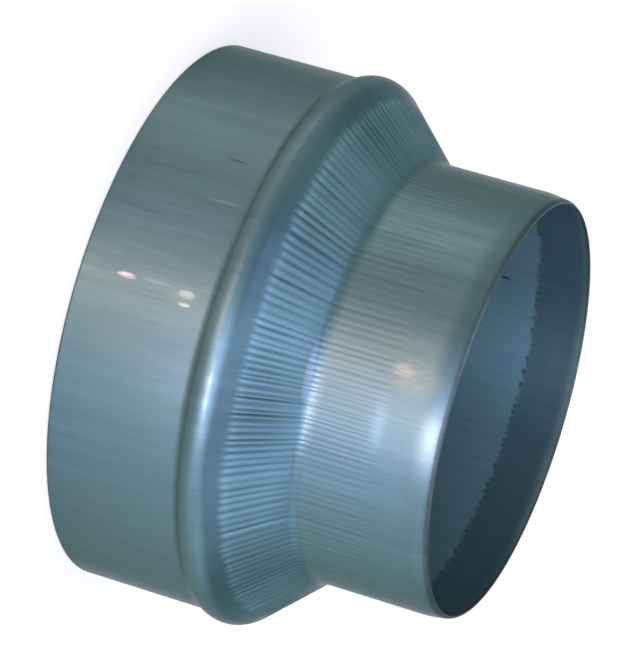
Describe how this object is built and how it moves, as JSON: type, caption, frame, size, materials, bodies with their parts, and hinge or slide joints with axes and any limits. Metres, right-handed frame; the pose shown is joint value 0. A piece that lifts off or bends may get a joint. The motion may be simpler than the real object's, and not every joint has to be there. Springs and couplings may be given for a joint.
{
  "type": "duct reducer",
  "caption": "Concentric round duct reducer of galvanised sheet, with a plain large collar, a stop bead, a ribbed cone and a small spigot, open right through.",
  "frame": {"origin": "centre of the large rim, on the surface that the reducer stands on", "axes": "+Z along the duct axis, from the large collar to the small spigot; X and Y lie in the plane of the large rim, and the part looks the same from every side"},
  "size_m": [0.1634, 0.1634, 0.107],
  "materials": {
    "galvanised_sheet": "zinc-coated sheet, satin, with fine streaks along the axis and brighter pressed ribs"
  },
  "bodies": {
    "root": {"reducer": "galvanised_sheet"}
  },
  "joints": []
}
